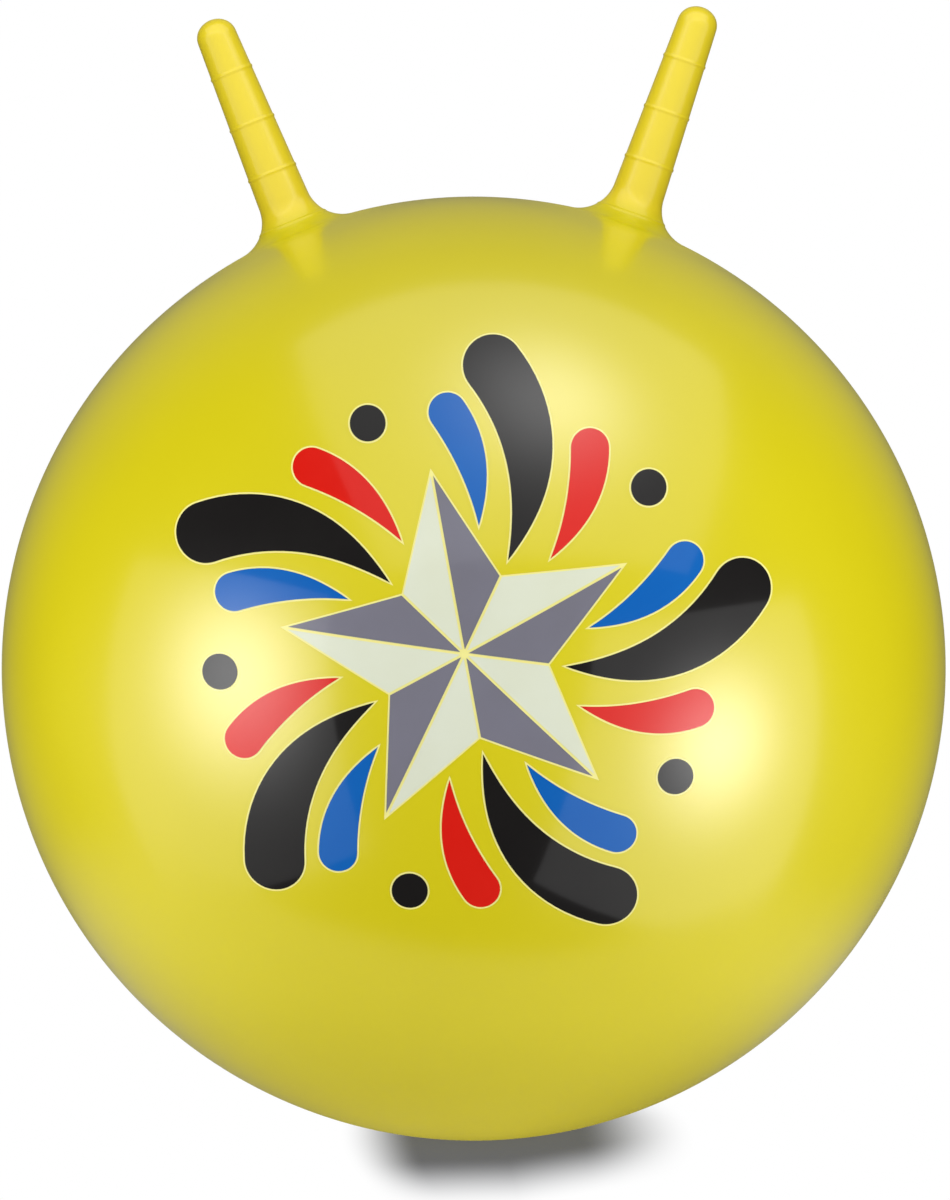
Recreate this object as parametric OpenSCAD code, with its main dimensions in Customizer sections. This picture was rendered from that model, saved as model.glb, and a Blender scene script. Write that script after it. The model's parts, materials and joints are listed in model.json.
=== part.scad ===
// Hopper ball: an inflated ball with two ringed grip horns, a valve at the back and a printed front.
// The origin is the middle of the flat patch that the ball stands on. +Z is up and the print faces -Y.
// Left and right are as seen from the front.

/* [Ball] */
// Diameter of the inflated ball
ball_d = 450; // [400:5:550]
// Thickness of the ball's skin
skin_wall = 1; // [0.8:0.1:1.8]
// Diameter of the flat patch on which the inflated ball rests
patch_d = 60; // [40:2:90]

/* [Horns] */
// Angle between each horn and the vertical
horn_lean = 20.6; // [16:0.2:28]
// Length of a horn beyond the ball's surface
horn_len = 108; // [95:1:130]
// Diameter of a horn above its flare
horn_root_d = 24.8; // [22:0.2:30]
// Diameter of a horn where its rounded end begins
horn_tip_d = 19.2; // [18:0.2:22]
// Thickness of a horn's wall
horn_wall = 3; // [2:0.25:5]
// Radius of the flare that blends a horn into the ball
flare_r = 18; // [14:1:28]
// Radius of the shoulder round a horn's end
shoulder_r = 8.5; // [6:0.5:9]
// Radius of the crown on a horn's end
crown_r = 10.5; // [10:0.5:14]
// Number of rings moulded round each horn
ring_count = 4; // [1:1:4]
// Height of the lowest ring above the ball
ring_base = 4.5; // [4:0.5:10]
// Distance from one ring to the next
ring_pitch = 25.5; // [18:0.5:27]
// Height of a ring over the horn's surface
ring_h = 0.5; // [0.3:0.1:0.9]
// Width of a ring
ring_w = 2.4; // [2:0.2:4]

/* [Valve seat] */
// Angle of the valve above the ball's middle, at the back
valve_elev = 15; // [0:1:30]
// Diameter of the pad that fills the hole in the skin
pad_d = 30; // [26:1:40]
// Diameter of the flange bonded to the inside of the skin
flange_d = 46; // [42:1:60]
// Thickness of the flange
flange_t = 2; // [1.5:0.25:3]
// Diameter of the neck that points into the ball
neck_d = 15; // [12:0.5:20]
// Length of the neck below the flange
neck_len = 16; // [10:1:24]
// Diameter of the bore that the plug closes
bore_d = 8; // [6:0.5:10]
// Depth of the recess for the plug's head
recess_depth = 1.4; // [1:0.1:1.8]

/* [Valve plug] */
// Diameter of the plug's head
head_d = 16; // [13:0.5:20]
// Thickness of the plug's head at its rim
head_t = 1.6; // [1.2:0.1:2.4]
// Rise of the head's domed top
head_rise = 0.8; // [0.4:0.1:1.2]
// Length of the plug's stem below its head
stem_len = 17; // [12:1:22]
// Length of the plain nose at the stem's end
nose_len = 2.5; // [1.5:0.5:4]
// Number of sealing ridges round the stem
ridge_count = 4; // [2:1:5]
// Depth of a sealing ridge
ridge_depth = 0.7; // [0.4:0.1:1]

/* [Print] */
// Thickness of the printed films
film_t = 0.15; // [0.1:0.05:0.3]
// Distance of the print's middle from the ball's middle, to the right
print_x = -4; // [-20:1:20]
// Distance of the print's middle from the ball's middle, upwards
print_z = 22; // [-20:1:40]
// Angle by which the print is turned
print_turn = 9; // [-18:1:18]
// Number of the star's points
star_points = 5; // [5:1:6]
// Distance from the star's middle to its points
star_r = 80; // [66:1:90]
// Distance from the star's middle to its notches
star_notch_r = 37; // [30:1:44]
// Width of the bare line between neighbouring printed shapes
print_line = 1.2; // [0.8:0.1:2]
// Distance from the print's middle to the ends of the long drops
long_drop_r = 140; // [120:1:150]
// Width of a long drop
long_drop_w = 27; // [18:1:32]
// Distance from the print's middle to the ends of the short drops
short_drop_r = 114; // [95:1:125]
// Width of a short drop
short_drop_w = 17; // [10:1:20]
// Distance from the star to the points of the drops
drop_gap = 8; // [4:1:12]
// Angle by which the swirl of drops has turned at its outer end
swirl_turn = 26; // [0:1:36]
// Distance from the print's middle to the dots
dot_ring_r = 109; // [100:1:130]
// Diameter of a dot
dot_d = 16; // [8:1:20]

/* [Fits] */
// Gap between pieces that are bonded to each other
seam_gap = 0.02; // [0.01:0.01:0.05]
// Gap between the plug and its seat
plug_gap = 0.05; // [0.03:0.01:0.1]
// Gap round the plug's head in its recess
head_gap = 0.4; // [0.2:0.1:0.8]

/* [Hidden] */
$fn = 96;

ball_r = ball_d / 2;
inside_r = ball_r - skin_wall;
patch_r = patch_d / 2;
// Height of the ball's middle over the floor
ball_z = sqrt(ball_r ^ 2 - patch_r ^ 2);
// A length that reaches past every piece
far = ball_d;

// Each horn is turned about an axis through the ball's middle, and heights along it start there.
root_r = horn_root_d / 2;
tip_r = horn_tip_d / 2;
horn_top = ball_r + horn_len;
// Centre of the flare's arc, which touches both the horn's side and the ball
flare_x = root_r + flare_r;
flare_z = sqrt((ball_r + flare_r) ^ 2 - flare_x ^ 2);
// Distance from the axis at which the flare runs out into the ball
foot_r = flare_x * ball_r / (ball_r + flare_r);
// The crown's arc runs into the shoulder's arc, so the line through their centres gives where they meet
shoulder_x = tip_r - shoulder_r;
crown_drop = sqrt((crown_r - shoulder_r) ^ 2 - shoulder_x ^ 2);
crown_z = horn_top - crown_r;
shoulder_z = crown_z + crown_drop;
// Radius of the circle whose cap is a ring's section
ring_r = (ring_w ^ 2 / 4 + ring_h ^ 2) / (2 * ring_h);
hollow_top = horn_top - tip_r;

// The valve is turned about an axis through the ball's middle too.
pad_r = pad_d / 2;
flange_r = flange_d / 2;
neck_r = neck_d / 2;
bore_r = bore_d / 2;
head_r = head_d / 2;
flange_top_r = inside_r - seam_gap;
flange_under_r = flange_top_r - flange_t;
neck_end = flange_under_r - neck_len;
recess_floor = ball_r - recess_depth;
head_under = recess_floor + plug_gap;
rim_top = head_under + head_t;
// Radius of the circle whose cap is the head's domed top
dome_r = (head_r ^ 2 + head_rise ^ 2) / (2 * head_rise);
stem_r = bore_r - plug_gap;
core_r = stem_r - ridge_depth;
nose_r = core_r - ridge_depth;
nose_end = head_under - stem_len;
ridge_pitch = (stem_len - nose_len) / ridge_count;
// Distance over which a ridge drops back to the core
ridge_edge = ridge_pitch / 6;

film_under_r = ball_r + seam_gap;
star_step = 360 / star_points;
// Distance from the star's middle to its edge, halfway between a point and a notch
star_edge_r = star_r * star_notch_r * sin(star_step / 2) / ((star_r + star_notch_r) * sin(star_step / 4));
swirl_run = long_drop_r - star_notch_r;

skin_colour = [0.84, 0.79, 0.14];
horn_colour = [0.93, 0.83, 0.2];
white_colour = [0.88, 0.9, 0.84];

// Point at radius r and angle a
function polar(r, a) = r * [cos(a), sin(a)];

// Distance of a horn's side from its axis, at height z
function horn_r(z) =
    z < flare_z
    ? flare_x - sqrt(flare_r ^ 2 - (flare_z - z) ^ 2)
    : root_r + (tip_r - root_r) * (z - flare_z) / (shoulder_z - flare_z);

// Direction square to a horn's side, at height z
function horn_normal(z) =
    z < flare_z ? [flare_x - horn_r(z), flare_z - z] / flare_r : [1, 0];

// Puts the ball's middle where the ball stands on its patch
module on_ball() {
    translate([0, 0, ball_z]) children();
}

// Turns Z to the axis of the horn on one side, -1 for left and 1 for right
module along_horn(side) {
    on_ball() rotate([0, side * horn_lean, 0]) children();
}

// Turns Z to the valve's axis, out of the back of the ball
module along_valve() {
    on_ball() rotate([valve_elev - 90, 0, 0]) children();
}

// A ball of radius r, flattened at height floor_z over the floor
module standing_ball(r, floor_z) {
    intersection() {
        on_ball() sphere(r);
        translate([-far, -far, floor_z]) cube([2 * far, 2 * far, 2 * far]);
    }
}

module ball_skin() {
    color(skin_colour)
    difference() {
        standing_ball(ball_r, 0);
        standing_ball(inside_r, skin_wall);
        for (side = [-1, 1])
            along_horn(side) cylinder(r = foot_r + seam_gap, h = far);
        along_valve() cylinder(r = pad_r + seam_gap, h = far);
    }
}

// Half section of a horn's rounded end: a crown that runs into a shoulder
module horn_end_section() {
    reach = 2 * crown_r / (crown_r - shoulder_r);
    translate([shoulder_x, shoulder_z]) circle(shoulder_r);
    translate([0, crown_z])
    intersection() {
        circle(crown_r);
        polygon([[0, 0], reach * [shoulder_x, crown_drop], [0, 2 * crown_r]]);
    }
}

// Section of one moulded ring, at height z
module ring_section(z) {
    translate([horn_r(z), z] + (ring_h - ring_r) * horn_normal(z)) circle(ring_r);
}

// Half section of a horn's outside, with its flare and its rings
module horn_outer_section() {
    polygon([[0, inside_r - skin_wall], [root_r, inside_r - skin_wall], [root_r, flare_z],
             [tip_r, shoulder_z], [0, shoulder_z]]);
    difference() {
        translate([0, inside_r - flare_r]) square([foot_r, flare_z - inside_r + flare_r]);
        translate([flare_x, flare_z]) circle(flare_r);
    }
    horn_end_section();
    for (i = [0 : ring_count - 1])
        ring_section(ball_r + ring_base + i * ring_pitch);
}

// Half section of a horn's hollow, which widens into the ball under the flare
module horn_hollow_section() {
    hollow_r = root_r - horn_wall;
    end_r = tip_r - horn_wall;
    polygon([[0, 0], [hollow_r, 0], [hollow_r, flare_z], [end_r, hollow_top], [0, hollow_top]]);
    translate([0, hollow_top]) circle(end_r);
    difference() {
        square([flare_x, flare_z]);
        translate([flare_x, flare_z]) circle(flare_r + horn_wall);
    }
}

module horn(side) {
    color(horn_colour)
    along_horn(side)
    rotate_extrude()
    intersection() {
        difference() {
            horn_outer_section();
            horn_hollow_section();
            circle(inside_r);
        }
        square([foot_r, far]);
    }
}

module left_horn() {
    horn(-1);
}

module right_horn() {
    horn(1);
}

module valve_seat() {
    color(skin_colour)
    along_valve()
    rotate_extrude()
    difference() {
        union() {
            difference() {
                union() {
                    intersection() {
                        circle(ball_r);
                        square([pad_r, far]);
                    }
                    intersection() {
                        circle(flange_top_r);
                        square([flange_r, far]);
                    }
                }
                circle(flange_under_r);
            }
            translate([0, neck_end]) square([neck_r, recess_floor - neck_end]);
        }
        translate([0, recess_floor]) square([head_r + head_gap, far]);
        square([bore_r, far]);
    }
}

// Outline of the stem, from its nose up to its head: each ridge swells slowly and drops back to the core
function stem_points() = concat(
    [[0, nose_end], [nose_r, nose_end]],
    [
        for (i = [ridge_count - 1 : -1 : 0])
            let (ridge_top = head_under - i * ridge_pitch)
                each [[core_r, ridge_top - ridge_pitch], [stem_r, ridge_top - ridge_edge]]
    ],
    [[core_r, head_under], [core_r, rim_top], [0, rim_top]]
);

module valve_plug() {
    color(white_colour)
    along_valve()
    rotate_extrude() {
        polygon(stem_points());
        intersection() {
            translate([0, rim_top + head_rise - dome_r]) circle(dome_r);
            translate([0, head_under]) square([head_r, far]);
        }
    }
}

// Presses flat printed shapes on to the front of the ball as a thin film
module film(colour) {
    color(colour)
    on_ball()
    intersection() {
        difference() {
            sphere(film_under_r + film_t);
            sphere(film_under_r);
        }
        rotate([90, 0, 0])
            linear_extrude(far) translate([print_x, print_z]) rotate(print_turn) children();
    }
}

// Angle by which the print's swirl has turned at radius r, and how fast it turns there
function swirl(r) = swirl_turn * ((r - star_notch_r) / swirl_run) ^ 2;
function swirl_rate(r) = 2 * swirl_turn * (r - star_notch_r) / swirl_run ^ 2;

// Direction in which the swirl's line runs at radius r
function heading(r) = swirl(r) + atan(r * swirl_rate(r) * PI / 180);

// Point beside the swirl's line: half a width away from it at radius r, at angle a to its direction
function beside_swirl(r, half, a) = polar(r, swirl(r)) + polar(half, heading(r) + a);

// Outline of a printed drop: it starts in a point near the star, swells along the swirl and ends round
function drop_points(start_r, end_r, width) =
    let (
        cap_r = width / 2,
        cap_at = end_r - cap_r,
        run = cap_at - start_r,
        steps = 8
    )
    concat(
        [for (i = [0 : steps]) beside_swirl(start_r + run * i / steps, cap_r * sin(90 * i / steps), -90)],
        [for (i = [1 : steps - 1]) beside_swirl(cap_at, cap_r, 180 * i / steps - 90)],
        [for (i = [steps : -1 : 1]) beside_swirl(start_r + run * i / steps, cap_r * sin(90 * i / steps), 90)]
    );

// Repeats a shape once for each point of the star, turned by offset from the points
module around_star(offset) {
    for (i = [0 : star_points - 1])
        rotate(90 + offset + i * star_step) children();
}

// Half of one of the star's arms, cut back by half a bare line along its middle and its notch
module star_half(side) {
    inset = print_line / 2;
    middle = inset / sin(star_step / 4);
    intersection() {
        polygon([[0, 0], [star_r, 0], polar(star_notch_r, side * star_step / 2)]);
        rotate(side * star_step / 4)
            translate([middle, 0])
                polygon([[0, 0], polar(star_r, -star_step / 4), polar(star_r, star_step / 4)]);
    }
}

module print_white() {
    film(white_colour) around_star(0) star_half(1);
}

module print_grey() {
    film([0.45, 0.44, 0.5]) around_star(0) star_half(-1);
}

module short_drops(offset) {
    around_star(offset) polygon(drop_points(star_edge_r + drop_gap, short_drop_r, short_drop_w));
}

module print_blue() {
    film([0.06, 0.3, 0.62]) short_drops(-star_step / 4);
}

module print_red() {
    film([0.82, 0.12, 0.09]) short_drops(star_step / 4);
}

module print_black() {
    film([0.12, 0.12, 0.13]) {
        around_star(star_step / 2) polygon(drop_points(star_notch_r + drop_gap, long_drop_r, long_drop_w));
        around_star(0) translate(polar(dot_ring_r, swirl(dot_ring_r))) circle(d = dot_d);
    }
}

ball_skin();
left_horn();
right_horn();
valve_seat();
valve_plug();
print_white();
print_grey();
print_blue();
print_red();
print_black();
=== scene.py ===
"""Looks of the hopper ball: a pearly yellow skin, two ringed horns, a printed front and a plugged air valve.

All sizes are in metres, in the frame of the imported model: the ball stands on z = 0, its print faces -Y and
its valve faces +Y. Left and right are as seen from the front.
"""

import json
import logging
import math
from collections.abc import Iterator, Sequence
from dataclasses import dataclass, field
from enum import Enum
from typing import Union

import bpy
import numpy as np
from mathutils import Matrix, Vector
from mathutils.geometry import delaunay_2d_cdt


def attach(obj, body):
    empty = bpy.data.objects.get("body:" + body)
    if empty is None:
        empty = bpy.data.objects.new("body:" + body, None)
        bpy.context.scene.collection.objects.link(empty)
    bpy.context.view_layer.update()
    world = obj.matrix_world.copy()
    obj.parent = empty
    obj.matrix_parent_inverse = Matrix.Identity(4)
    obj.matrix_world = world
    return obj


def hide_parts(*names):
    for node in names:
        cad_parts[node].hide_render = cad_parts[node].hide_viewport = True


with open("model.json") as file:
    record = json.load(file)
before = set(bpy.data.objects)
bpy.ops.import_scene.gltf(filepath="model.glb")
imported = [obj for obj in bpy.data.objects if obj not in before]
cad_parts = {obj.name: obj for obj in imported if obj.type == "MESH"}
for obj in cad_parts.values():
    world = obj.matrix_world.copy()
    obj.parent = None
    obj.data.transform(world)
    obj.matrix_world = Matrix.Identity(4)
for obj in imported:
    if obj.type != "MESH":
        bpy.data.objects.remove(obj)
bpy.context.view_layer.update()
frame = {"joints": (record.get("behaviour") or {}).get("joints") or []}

log = logging.getLogger("hopper_ball")

Colour = tuple[float, float, float, float]
FULL_TURN = 2 * math.pi
WHITE: Colour = (1.0, 1.0, 1.0, 1.0)
# Distances under this are taken as none
TINY = 1e-7


class Body(Enum):
    """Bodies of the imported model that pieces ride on."""

    BALL = "ball"
    PLUG = "plug"


class Slot(Enum):
    """Material slots of the record that pieces take their finish from."""

    SKIN = "skin"
    HORN = "horn"
    PLUG = "plug"
    WHITE = "ink_white"
    GREY = "ink_grey"
    BLUE = "ink_blue"
    RED = "ink_red"
    BLACK = "ink_black"


class Side(Enum):
    """Sides of the ball, as signs of X."""

    LEFT = -1
    RIGHT = 1


def screen_colour(red: int, green: int, blue: int) -> Colour:
    """Turns a colour written as screen values into the linear one that shaders take, by the sRGB curve.

    Args:
        red: red, from 0 to 255.
        green: green, from 0 to 255.
        blue: blue, from 0 to 255.

    Returns:
        The linear colour, opaque.
    """
    shares = [value / 255 for value in (red, green, blue)]
    linear = [s / 12.92 if s <= 0.04045 else ((s + 0.055) / 1.055) ** 2.4 for s in shares]
    return (*linear, 1.0)


# Meshes


@dataclass
class Draft:
    """A mesh while it is put together.

    Attributes:
        points: the corners, one row each.
        normals: direction of the smooth surface at each corner.
        faces: corner numbers of each face, counter-clockwise as seen from outside.
    """

    points: np.ndarray
    normals: np.ndarray
    faces: list[tuple[int, ...]]

    def piece(self, name: str) -> bpy.types.Object:
        """Makes the mesh and its object.

        Args:
            name: the piece's name.

        Returns:
            The new object, linked to the scene.
        """
        mesh = bpy.data.meshes.new(name)
        mesh.from_pydata(self.points.tolist(), [], self.faces)
        mesh.shade_smooth()
        mesh.normals_split_custom_set_from_vertices(self.normals.tolist())
        made = bpy.data.objects.new(name, mesh)
        bpy.context.scene.collection.objects.link(made)
        return made


def joined(drafts: Sequence[Draft]) -> Draft:
    """Puts several drafts into one, side by side.

    Args:
        drafts: the drafts to join.

    Returns:
        One draft with all their corners and faces.
    """
    starts = np.cumsum([0] + [len(draft.points) for draft in drafts])
    faces = [
        tuple(corner + int(start) for corner in face)
        for draft, start in zip(drafts, starts)
        for face in draft.faces
    ]
    points = np.vstack([draft.points for draft in drafts])
    normals = np.vstack([draft.normals for draft in drafts])
    return Draft(points, normals, faces)


def axis_place(axis: Vector, centre: Vector) -> Matrix:
    """Gives the place of something that is turned about an axis.

    Args:
        axis: direction of the axis.
        centre: point on the axis from which heights are counted.

    Returns:
        A matrix that takes Z to the axis and the origin to the centre.
    """
    return Matrix.Translation(centre) @ axis.to_track_quat("Z", "Y").to_matrix().to_4x4()


def arc(centre: tuple[float, float], radius: float, start: float, end: float, steps: int) -> np.ndarray:
    """Samples an arc of a circle.

    Args:
        centre: the circle's centre.
        radius: the circle's radius.
        start: angle at which the arc starts, in radians.
        end: angle at which it ends.
        steps: number of steps between them.

    Returns:
        The points along the arc, both ends included.
    """
    angles = np.linspace(start, end, steps + 1)
    return np.array(centre) + radius * np.column_stack([np.cos(angles), np.sin(angles)])


def rounded(corners: Sequence[tuple[float, float, float]], steps: int = 5) -> np.ndarray:
    """Rounds the corners of an outline.

    Args:
        corners: for each corner, its two coordinates and the radius to which it is rounded.
        steps: number of steps round each corner.

    Returns:
        The points of the rounded outline. A corner of radius 0 stays one point.
    """
    spots = [np.array(corner[:2]) for corner in corners]
    points: list[np.ndarray] = []
    for number, (spot, corner) in enumerate(zip(spots, corners)):
        radius = corner[2]
        if radius < TINY:
            points.append(spot)
            continue
        back = spots[number - 1] - spot
        ahead = spots[(number + 1) % len(spots)] - spot
        back = back / np.linalg.norm(back)
        ahead = ahead / np.linalg.norm(ahead)
        half_angle = math.acos(float(np.clip(back @ ahead, -1, 1))) / 2
        bisector = (back + ahead) / np.linalg.norm(back + ahead)
        middle = spot + bisector * radius / math.sin(half_angle)
        reach = radius / math.tan(half_angle)
        first = spot + back * reach - middle
        last = spot + ahead * reach - middle
        for share in np.linspace(0, 1, steps + 1):
            arm = first * (1 - share) + last * share
            points.append(middle + arm * radius / np.linalg.norm(arm))
    return np.array(points)


def outline_normals(outline: np.ndarray, closed: bool = False) -> np.ndarray:
    """Gives the outward direction at each point of an outline that has its solid on the right.

    Args:
        outline: the points, in order.
        closed: whether the last point runs on to the first.

    Returns:
        One unit direction for each point, in which the longer of the two edges there counts for more.
    """
    edges = np.roll(outline, -1, axis=0) - outline
    if not closed:
        edges[-1] = 0
    turned = np.column_stack([-edges[:, 1], edges[:, 0]])
    both = turned + np.roll(turned, 1, axis=0)
    return both / np.linalg.norm(both, axis=1, keepdims=True)


def revolve(
    outline: np.ndarray, normals: np.ndarray, place: Matrix, segments: int, closed: bool = False
) -> Draft:
    """Turns an outline about an axis.

    Args:
        outline: distance from the axis and height of each point. Points on the axis become poles.
        normals: outward direction at each point.
        place: where the axis stands, with Z along it.
        segments: number of steps round the axis.
        closed: whether the last point runs on to the first.

    Returns:
        The turned surface.
    """
    angles = FULL_TURN * np.arange(segments) / segments
    points: list[list[float]] = []
    directions: list[list[float]] = []
    rows: list[list[int]] = []
    for (away, height), (out, up) in zip(outline.tolist(), normals.tolist()):
        turns = angles[:1] if away < TINY else angles
        rows.append(list(range(len(points), len(points) + len(turns))))
        points += [[away * math.cos(a), away * math.sin(a), height] for a in turns]
        directions += [[out * math.cos(a), out * math.sin(a), up] for a in turns]
    faces: list[tuple[int, ...]] = []
    pairs = list(zip(rows, rows[1:])) + ([(rows[-1], rows[0])] if closed else [])
    for upper, lower in pairs:
        for step in range(segments):
            following = step + 1
            quad = (
                upper[step % len(upper)],
                lower[step % len(lower)],
                lower[following % len(lower)],
                upper[following % len(upper)],
            )
            faces.append(tuple(dict.fromkeys(quad)))
    turn = np.array(place.to_3x3())
    return Draft(
        np.array(points) @ turn.T + np.array(place.translation),
        np.array(directions) @ turn.T,
        faces,
    )


# Shader maths

# A number, or a wire that carries one
Number = Union["Wire", float]
# What an input of a node takes
Value = Union["Wire", float, Sequence[float], Vector]


class Wire:
    """One output of a node, with the operators that add Math nodes to its sheet."""

    def __init__(self, sheet: "Sheet", source: bpy.types.Node, name: int | str) -> None:
        """Keeps what the wire comes from.

        Args:
            sheet: the sheet that the node is on.
            source: the node.
            name: name or number of its output.
        """
        self.sheet = sheet
        self.source = source
        self.name = name

    @property
    def socket(self) -> bpy.types.NodeSocket:
        """The node's output."""
        return self.source.outputs[self.name]

    def output(self, name: str) -> "Wire":
        """Gives another output of the same node, by its name."""
        return Wire(self.sheet, self.source, name)

    def math(self, operation: str, first: Number, second: Number = 0.0) -> "Wire":
        """Adds a Math node.

        Args:
            operation: the node's operation.
            first: its first value.
            second: its second value.

        Returns:
            The node's result.
        """
        return self.sheet.node("ShaderNodeMath", {"operation": operation}, {0: first, 1: second})

    def __add__(self, other: Number) -> "Wire":
        """Adds a value."""
        return self.math("ADD", self, other)

    def __radd__(self, other: float) -> "Wire":
        """Is added to a number."""
        return self.math("ADD", other, self)

    def __sub__(self, other: Number) -> "Wire":
        """Takes a value away."""
        return self.math("SUBTRACT", self, other)

    def __rsub__(self, other: float) -> "Wire":
        """Is taken from a number."""
        return self.math("SUBTRACT", other, self)

    def __mul__(self, other: Number) -> "Wire":
        """Multiplies by a value."""
        return self.math("MULTIPLY", self, other)

    def __rmul__(self, other: float) -> "Wire":
        """Multiplies a number."""
        return self.math("MULTIPLY", other, self)

    def __pow__(self, other: Number) -> "Wire":
        """Raises to a power."""
        return self.math("POWER", self, other)

    def __rpow__(self, other: float) -> "Wire":
        """Is the power that a number is raised to."""
        return self.math("POWER", other, self)

    def __abs__(self) -> "Wire":
        """Gives the size of the value."""
        return self.math("ABSOLUTE", self)

    def at_least(self, other: Number) -> "Wire":
        """Takes the larger of two values."""
        return self.math("MAXIMUM", self, other)

    def ramp(self, start: float, end: float) -> "Wire":
        """Gives a smooth step.

        Args:
            start: value at which the step is 0.
            end: value at which it is 1.

        Returns:
            The step, from 0 to 1.
        """
        settings = {"interpolation_type": "SMOOTHSTEP"}
        return self.sheet.node("ShaderNodeMapRange", settings, {0: self, 1: start, 2: end})


class Sheet:
    """The node tree of a material, a light or the world."""

    def __init__(self, owner: bpy.types.ID) -> None:
        """Empties the owner's node tree and takes it over.

        Args:
            owner: the material, light or world.
        """
        owner.use_nodes = True
        self.tree = owner.node_tree
        self.tree.nodes.clear()

    def node(
        self,
        kind: str,
        settings: dict[str, object] | None = None,
        inputs: dict[int | str, Value] | None = None,
        output: int | str = 0,
    ) -> Wire:
        """Adds a node.

        Args:
            kind: the node's type.
            settings: properties of the node, which are set first.
            inputs: a number, colour or wire for each named or numbered socket.
            output: name or number of the output that is given back.

        Returns:
            That output. A node that ends the tree has none, and then this isn't used.
        """
        made = self.tree.nodes.new(kind)
        for name, setting in (settings or {}).items():
            setattr(made, name, setting)
        for name, value in (inputs or {}).items():
            if isinstance(value, Wire):
                self.tree.links.new(value.socket, made.inputs[name])
            else:
                made.inputs[name].default_value = value
        return Wire(self, made, output)

    def parts(self, vector: Wire) -> tuple[Wire, ...]:
        """Splits a vector into its X, Y and Z."""
        split = self.node("ShaderNodeSeparateXYZ", None, {0: vector})
        return tuple(split.output(name) for name in "XYZ")

    def emission(self, strength: float) -> Wire:
        """Adds a shader that gives off white light."""
        return self.node("ShaderNodeEmission", None, {"Strength": strength})

    def blend(self, share: Wire, first: Wire, second: Wire) -> Wire:
        """Mixes two shaders, by the share of the second one."""
        return self.node("ShaderNodeMixShader", None, {0: share, 1: first, 2: second})

    def mix(self, share: Number, first: Value, second: Value) -> Wire:
        """Mixes two colours.

        Args:
            share: share of the second one.
            first: a colour.
            second: another colour.

        Returns:
            The mixed colour.
        """
        return self.node("ShaderNodeMix", {"data_type": "RGBA"}, {0: share, 6: first, 7: second}, 2)

    def noise(self, where: Wire, scale: float, detail: float = 2.0) -> Wire:
        """Adds noise.

        Args:
            where: the coordinates.
            scale: number of lumps in a metre.
            detail: number of finer octaves.

        Returns:
            Noise about 0, from -0.5 to 0.5.
        """
        inputs = {"Vector": where, "Scale": scale, "Detail": detail}
        return self.node("ShaderNodeTexNoise", None, inputs) - 0.5

    def bump(self, height: Wire, distance: float) -> Wire:
        """Adds a bump.

        Args:
            height: the height, in units of distance.
            distance: height of a bump of 1.

        Returns:
            The bumped normal.
        """
        return self.node("ShaderNodeBump", None, {"Height": height, "Distance": distance})


class MaterialSheet(Sheet):
    """The node tree of a new material.

    Attributes:
        material: the material.
        where: the place that is shaded, in the coordinates of its piece.
    """

    def __init__(self, name: str) -> None:
        """Makes the material.

        Args:
            name: the material's name.
        """
        self.material = bpy.data.materials.new(name)
        super().__init__(self.material)
        self.where = self.node("ShaderNodeTexCoord", output="Object")

    def shows(self, surface: Wire) -> bpy.types.Material:
        """Ends the tree with a surface and gives the material."""
        self.node("ShaderNodeOutputMaterial", None, {"Surface": surface})
        return self.material


# Finishes

# Long, low waves of the skin, which the printed films follow: lumps in a metre, finer octaves and height
WAVE_SCALE = 11.0
WAVE_DETAIL = 1.0
WAVE_H = 0.0006


def skin_normal(sheet: MaterialSheet, grain: Wire) -> Wire:
    """Bumps a surface by the skin's waves and a finer grain.

    Args:
        sheet: the material's sheet.
        grain: height of the grain, as a share of the waves' height.

    Returns:
        The bumped normal.
    """
    waves = sheet.noise(sheet.where, WAVE_SCALE, WAVE_DETAIL)
    return sheet.bump(waves + grain, WAVE_H)


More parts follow.
